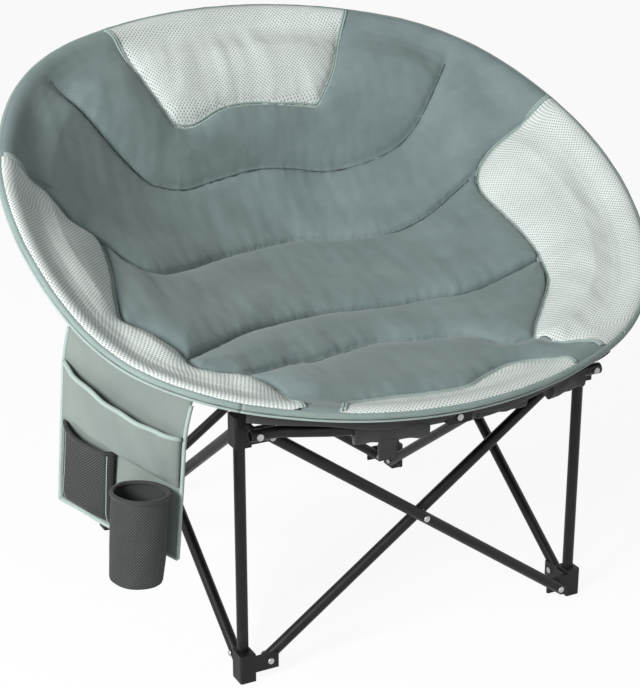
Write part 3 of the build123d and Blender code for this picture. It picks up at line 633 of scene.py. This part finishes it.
for node, (hand, lowX, highX) in sleeves.items():
    route = roundedRoute(bars[hand])
    route = route[np.argsort(route[:, 0])]
    x = np.linspace(lowX, highX, sleeveLook["count"])
    points = np.stack([x, np.interp(x, *route.T), np.full(x.size, bars["height"])], axis=1) / 1000
    points[:, 2] -= sleeveLook["lower"]
    toEnd = np.abs(np.linspace(-1, 1, x.size))
    sleeve = clothTube(node.replace("bar_sleeve_", "barSleeve"), points,
                       sleeveLook["radius"] + sleeveLook["flare"] * toEnd ** 3, finish["black"],
                       sleeveLook["sides"], sleeveLook["ripple"], lowX, flat=sleeveLook["flat"])
    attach(sleeve, hand + "_bar")
    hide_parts(node)

postPocket = {"x": 0.320, "y": 0.327, "low": 0.768, "high": 0.842, "count": 26, "radius": 0.0138,
              "flare": 0.004, "sides": 20, "ripple": 0.1, "seed": 3.0}
for side, word in ((-1, "left"), (1, "right")):
    z = np.linspace(postPocket["low"], postPocket["high"], postPocket["count"])
    points = np.stack(np.broadcast_arrays(side * postPocket["x"], postPocket["y"], z), axis=1)
    radius = postPocket["radius"] + postPocket["flare"] * np.linspace(0, 1, z.size) ** 2
    pocket = clothTube(word + "PostPocket", points, radius, finish["black"], postPocket["sides"],
                       postPocket["ripple"], side * postPocket["seed"], up=(0, 1, 0))
    softPiece(pocket, "back", "black_cloth", *(["rear_post_pockets"] if side < 0 else []))

# Black cloth band sewn under the front rim: thickness and wave in metres, other lengths in mm
band = {"halfWidth": 335.0, "count": 130, "rows": 9, "inset": 2.0, "under": 8.0, "drop": 26.0, "lean": 7.0,
        "thick": 0.0022, "scallop": 0.12, "scallopMm": 37.0, "wave": 0.0016, "waveMm": 19.0}
bandX = np.linspace(-band["halfWidth"], band["halfWidth"], band["count"])
bandW = band["inset"] - np.array([rimReach(v) for v in bandX])
hang = np.linspace(0, 1, band["rows"])[:, None]
bandGrid = toWorld(bandX, bandW + band["lean"] * hang, -band["under"])
scallop = 1 - band["scallop"] * np.cos(bandX / band["scallopMm"])
bandGrid[..., 2] -= hang * band["drop"] / 1000 * scallop
bandGrid[..., 1] += band["wave"] * hang * np.sin(bandX / band["waveMm"])
frontBand = clothPatch("frontBand", bandGrid, band["thick"], finish["black"])
softPiece(frontBand, "seat", "black_cloth")

# A webbing end below the left sleeve
strap = {"low": -0.137, "high": -0.103, "y": -0.4125, "top": 0.424, "drop": 0.032, "bow": 0.002,
         "bowTurn": 4, "columns": 9, "rows": 12, "thick": 0.0024}
strapX = np.linspace(strap["low"], strap["high"], strap["columns"])[None, :]
hang = np.linspace(0, 1, strap["rows"])[:, None]
strapY = strap["y"] + strap["bow"] * np.sin(strap["bowTurn"] * hang)
strapGrid = np.stack(np.broadcast_arrays(strapX, strapY, strap["top"] - strap["drop"] * hang), axis=-1)
sleeveStrap = clothPatch("sleeveStrap", strapGrid, strap["thick"], finish["black"])
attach(sleeveStrap, "left_bar")
print("sleeves and post pockets sewn")


# Organiser: a cloth panel below the rim, a cloth pocket, a flat net pocket and a round net pocket.
# Thickness is in metres, other lengths are in mm
organiser = {
    "hangW": -286.0, "outset": 1.5, "width": 216.0, "rearDrop": 300.0, "frontDrop": 252.0, "sag": 5.0,
    "lean": 20.0, "flare": 12.0, "fallMost": 1.4, "hemGap": 0.4, "hemOverlap": 9.0, "easeShare": 0.28,
    "ground": 2.0, "wave": 1.6, "waveMm": 21.0, "waveTurn": 3.0, "columns": 44, "rows": 60, "thick": 0.0022,
    "hemSpan": (-440, -120), "hemCount": 200, "sideStart": 2, "stripColumn": 4,
}
hangHalf = rimHalf(organiser["hangW"])
reachX, reachW = hangHalf - rim["cornerX"], abs(organiser["hangW"]) - rim["cornerW"]
levelRun = math.hypot(reachW, reachX * tiltCos)
panelAlong = np.array([reachW / levelRun, -reachX * tiltCos / levelRun, 0.0])
panelOut = np.array([panelAlong[1], -panelAlong[0], 0.0])
slope = -reachX * tiltSin / levelRun
hemUnder = rim["hemRadius"] * math.hypot(1, slope) + organiser["hemGap"]
topHeight = rim["height"] + organiser["hangW"] * tiltSin - hemUnder - slope * organiser["width"] / 2
rearTop = np.array([-hangHalf, organiser["hangW"] * tiltCos, topHeight])
rearTop = rearTop - panelAlong * organiser["width"] / 2 + panelOut * organiser["outset"]


def panelTop(across):
    return slope * across


def panelBottom(across):
    foot = slope * organiser["width"] - organiser["frontDrop"] + organiser["rearDrop"]
    return -organiser["rearDrop"] + across / organiser["width"] * foot


def onPanel(across, high, out):
    across, high, out = np.broadcast_arrays(*(np.asarray(v, float) for v in (across, high, out)))
    # hangs a little back and out of the upright
    fall = np.clip((panelTop(across) - high) / organiser["rearDrop"], 0, organiser["fallMost"])
    across, out = across - organiser["lean"] * fall, out + organiser["flare"] * fall
    upright = high[..., None] * np.array([0, 0, 1.0])
    return (rearTop + across[..., None] * panelAlong + upright + out[..., None] * panelOut) / 1000


# The panel's top edge follows the hem, so the hem's line is found in the panel's own directions
hemNear = rimLine(*organiser["hemSpan"], -1, organiser["hemCount"])
hemPoints = toWorld(*hemNear.T, 0) * 1000 - rearTop
hemPoints = hemPoints[np.argsort(hemPoints @ panelAlong)]
hemAlong, hemOut, hemUp = hemPoints @ panelAlong, hemPoints @ panelOut, hemPoints[:, 2]

across = np.linspace(0, organiser["width"], organiser["columns"])[None, :]
down = np.linspace(0, 1, organiser["rows"])[:, None]
ease = np.clip(1 - down / organiser["easeShare"], 0, 1)
belly = organiser["sag"] * np.sin(math.pi * across / organiser["width"]) * down
out = np.interp(across, hemAlong, hemOut) * ease ** 2 + organiser["ground"] + belly
out = out + organiser["wave"] * np.sin(across / organiser["waveMm"] + down * organiser["waveTurn"]) * down
high = panelTop(across) + (panelBottom(across) - panelTop(across)) * down
high = high + (np.interp(across, hemAlong, hemUp) - organiser["hemOverlap"] - panelTop(across)) * ease
panelGrid = onPanel(across, high, out)
organiserPanel = clothPatch("organiserPanel", panelGrid, organiser["thick"], finish["organiser"])
softPiece(organiserPanel, "left_side", "organiser_cloth", "organiser_panel")

edgeTape = {"radius": 0.0034, "mouth": 0.0038, "roundMouth": 0.0036, "strip": 0.0012, "sides": 8,
            "ripple": 0.06, "seed": 3.0}


def bindEdge(name, points, radius, look="piping"):
    edge = clothTube(name, points, radius, finish[look], edgeTape["sides"], edgeTape["ripple"],
                     edgeTape["seed"], up=panelOut)
    softPiece(edge, "left_side", "rim_binding")


bindEdge("organiserRearBinding", panelGrid[organiser["sideStart"]:, 0], edgeTape["radius"])
bindEdge("organiserFrontBinding", panelGrid[organiser["sideStart"]:, -1], edgeTape["radius"])
bindEdge("organiserFootBinding", panelGrid[-1, :], edgeTape["radius"])

# Spans along the panel in mm, heights as shares of the panel from its foot
pockets = {
    "organiserUpperPocket": {"span": (3, 213), "share": (0.47, 0.78), "bulge": 17, "dip": 8,
                             "look": "organiser", "mouth": "piping", "node": "organiser_upper_pocket"},
    "organiserFlatPocket": {"span": (8, 104), "share": (0.03, 0.46), "bulge": 16, "dip": 7,
                            "look": "net", "mouth": "black", "node": "organiser_flat_pocket"},
}
pocketLook = {"columns": 46, "rows": 40, "sideShare": 0.12, "footShare": 0.16, "soften": 0.6, "ground": 5.5,
              "evenShare": 0.55, "wave": 1.5, "waveMm": 9.0, "waveTurn": 4, "thick": 0.0018}
pocketGrids = {}
for name, pocket in pockets.items():
    rearSide, frontSide = pocket["span"]
    footShare, mouthShare = pocket["share"]
    across = np.linspace(rearSide, frontSide, pocketLook["columns"])[None, :]
    up = np.linspace(0, 1, pocketLook["rows"])[:, None]
    along = (across - rearSide) / (frontSide - rearSide)
    arch = np.sin(math.pi * along)
    tall = panelTop(across) - panelBottom(across)
    foot = panelBottom(across) + tall * footShare
    mouth = panelBottom(across) + tall * mouthShare - pocket["dip"] * arch
    puff = fade(np.minimum(along, 1 - along), pocketLook["sideShare"]) ** pocketLook["soften"]
    puff = puff * fade(up, pocketLook["footShare"]) ** pocketLook["soften"]
    fullness = pocketLook["evenShare"] + (1 - pocketLook["evenShare"]) * arch
    out = pocketLook["ground"] + organiser["sag"] * np.sin(math.pi * across / organiser["width"])
    out = out + pocket["bulge"] * puff * fullness
    waves = np.sin(across / pocketLook["waveMm"] + pocketLook["waveTurn"] * up)
    out = out + pocketLook["wave"] * waves * puff
    grid = onPanel(across, foot + (mouth - foot) * up, out)
    piece = clothPatch(name, grid, pocketLook["thick"], finish[pocket["look"]])
    softPiece(piece, "left_side", "organiser_cloth", pocket["node"])
    bindEdge(name + "MouthBinding", grid[-1, :], edgeTape["mouth"], pocket["mouth"])
    pocketGrids[name] = grid
flatGrid = pocketGrids["organiserFlatPocket"]
bindEdge("flatPocketRearStrip", flatGrid[:, organiser["stripColumn"]], edgeTape["strip"])
bindEdge("flatPocketFrontStrip", flatGrid[:, -1 - organiser["stripColumn"]], edgeTape["strip"])

# The round pocket: a shallow cup for a floor, then a wall that widens a little
roundPocket = {"alongRadius": 44.0, "outRadius": 36.0, "standOff": 39.0, "ground": 4.4, "height": 150.0,
               "drop": 44.0, "inset": 6.0, "floorShare": 0.16, "floorRise": 10.0, "floorHole": 0.02,
               "floorReach": 0.94, "widenShare": 0.3, "wave": 0.012, "waveCount": 5, "waveTurn": 9,
               "columns": 49, "rows": 44, "thick": 0.0016}
middle = organiser["width"] - roundPocket["standOff"] - roundPocket["inset"]
floorHigh = panelBottom(middle) - roundPocket["drop"]
turn = np.linspace(0, 2 * math.pi, roundPocket["columns"])[None, :]
rise = np.linspace(0, 1, roundPocket["rows"])[:, None]
onFloor = rise < roundPocket["floorShare"]
cup = rise / roundPocket["floorShare"]
wall = np.clip((rise - roundPocket["floorShare"]) / (1 - roundPocket["floorShare"]), 0, 1)
height = roundPocket["height"] * wall + roundPocket["floorRise"] * np.where(onFloor, cup ** 2, 1 - wall)
cupReach = np.sin(np.clip(cup, roundPocket["floorHole"], 1) * math.pi / 2) * roundPocket["floorReach"]
widening = fade(rise - roundPocket["floorShare"], roundPocket["widenShare"])
wallReach = roundPocket["floorReach"] + (1 - roundPocket["floorReach"]) * widening
reach = np.where(onFloor, cupReach, wallReach)
waves = np.sin(roundPocket["waveCount"] * turn + roundPocket["waveTurn"] * rise)
reach = reach * (1 + roundPocket["wave"] * waves)
roundOut = roundPocket["standOff"] + roundPocket["outRadius"] * reach * np.sin(turn)
roundGrid = onPanel(middle + roundPocket["alongRadius"] * reach * np.cos(turn), floorHigh + height,
                    roundPocket["ground"] + roundOut)
bottlePocket = clothPatch("organiserBottlePocket", roundGrid, roundPocket["thick"], finish["net"])
softPiece(bottlePocket, "left_side", "organiser_cloth", "organiser_bottle_pocket")
bindEdge("bottleMouthBinding", roundGrid[-1, :], edgeTape["roundMouth"], "black")
print("organiser hung")


# Carried-over frame pieces take their real finishes, and moulded ones get soft edges
moulded = {"weld": 0.00005, "edge": 0.0022, "segments": 3, "angle": 50}
for node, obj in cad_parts.items():
    if obj.hide_render:
        continue
    if "rivet" in node:
        look = finish["rivet"]
    elif "tube" in node or node.endswith("_post") or node.startswith("front_bar"):
        look = finish["tube"]
    else:
        look = finish["nylon"]
    for materialSlot in obj.material_slots:
        materialSlot.material = look
    if not obj.material_slots:
        obj.data.materials.append(look)
    if look is finish["nylon"]:
        weld = obj.modifiers.new("joinedFaces", "WELD")
        weld.merge_threshold = moulded["weld"]
        softEdge = obj.modifiers.new("mouldedEdges", "BEVEL")
        softEdge.width = moulded["edge"]
        softEdge.segments = moulded["segments"]
        softEdge.limit_method = "ANGLE"
        softEdge.angle_limit = math.radians(moulded["angle"])
print("frame finished")


# Stage: white sweep, soft studio light, camera where the photograph was taken from
stage = {
    "floor": "#f6f6f5", "floorSize": 80, "sky": 0.25, "glow": 0.92,
    "keyLamp": {"place": (-3.3, -1.5, 2.2), "aim": (0, 0, 0.6), "power": 205.0, "size": 1.3},
    "fillLamp": {"place": (2.6, -2.4, 2.2), "aim": (0, 0, 0.5), "power": 12.0, "size": 2.0},
}
plainWhite = {"Color": (1, 1, 1, 1), "Strength": 1.0}


# 1 for what the camera sees, straight or by gloss or glass, and 0 for what only lights the chair
def seenDirectly(tree):
    path = addNode(tree, "ShaderNodeLightPath")
    seen = addNode(tree, "ShaderNodeMath", operation="MAXIMUM",
                   links={0: (path, "Is Camera Ray"), 1: (path, "Is Glossy Ray")})
    return addNode(tree, "ShaderNodeMath", operation="MAXIMUM",
                   links={0: (seen, 0), 1: (path, "Is Transmission Ray")})


bpy.ops.mesh.primitive_plane_add(size=stage["floorSize"], location=(0, 0, 0))
floor = bpy.context.object
floor.name = "studioFloor"
paper, tree, shader = newMaterial("whitePaperSweep",
                                  {"Base Color": linear(stage["floor"]), "Roughness": 0.9})
share = addNode(tree, "ShaderNodeMath", {1: stage["glow"]}, {0: (seenDirectly(tree), 0)},
                operation="MULTIPLY")
glow = addNode(tree, "ShaderNodeEmission", plainWhite)
sheet = addNode(tree, "ShaderNodeMixShader", links={0: (share, 0), 1: (shader, 0), 2: (glow, 0)})
tree.links.new(sheet.outputs[0], tree.nodes["Material Output"].inputs["Surface"])
floor.data.materials.append(paper)

world = bpy.context.scene.world or bpy.data.worlds.new("studio")
bpy.context.scene.world = world
world.use_nodes = True
tree = world.node_tree
tree.nodes.clear()
soft = addNode(tree, "ShaderNodeBackground", {"Color": (1, 1, 1, 1), "Strength": stage["sky"]})
white = addNode(tree, "ShaderNodeBackground", plainWhite)
mix = addNode(tree, "ShaderNodeMixShader",
              links={0: (seenDirectly(tree), 0), 1: (soft, 0), 2: (white, 0)})
addNode(tree, "ShaderNodeOutputWorld", links={"Surface": (mix, 0)})

for name in ("keyLamp", "fillLamp"):
    lamp = bpy.data.lights.new(name, "AREA")
    lamp.energy = stage[name]["power"]
    lamp.size = stage[name]["size"]
    obj = bpy.data.objects.new(name, lamp)
    obj.location = stage[name]["place"]
    sight = Vector(stage[name]["aim"]) - Vector(stage[name]["place"])
    obj.rotation_euler = sight.to_track_quat("-Z", "Y").to_euler()
    bpy.context.scene.collection.objects.link(obj)

shot = {"place": (-1.2805, -2.4345, 1.4159), "azimuth": -27.3965, "elevation": 19.6861, "focalPx": 1640.5,
        "centre": (323.4, 343.1), "wide": 640, "tall": 688, "sensor": 36}
camera = bpy.data.objects.new("photoCamera", bpy.data.cameras.new("photoCamera"))
bpy.context.scene.collection.objects.link(camera)
bpy.context.scene.camera = camera
camera.location = shot["place"]
camera.rotation_euler = (math.radians(90 - shot["elevation"]), 0, math.radians(shot["azimuth"]))
camera.data.sensor_fit = "HORIZONTAL"
camera.data.sensor_width = shot["sensor"]
camera.data.lens = shot["focalPx"] * shot["sensor"] / shot["wide"]
camera.data.shift_x = (shot["wide"] / 2 - shot["centre"][0]) / shot["wide"]
camera.data.shift_y = (shot["centre"][1] - shot["tall"] / 2) / shot["wide"]
bpy.context.scene.view_settings.view_transform = "Standard"
print("stage set")
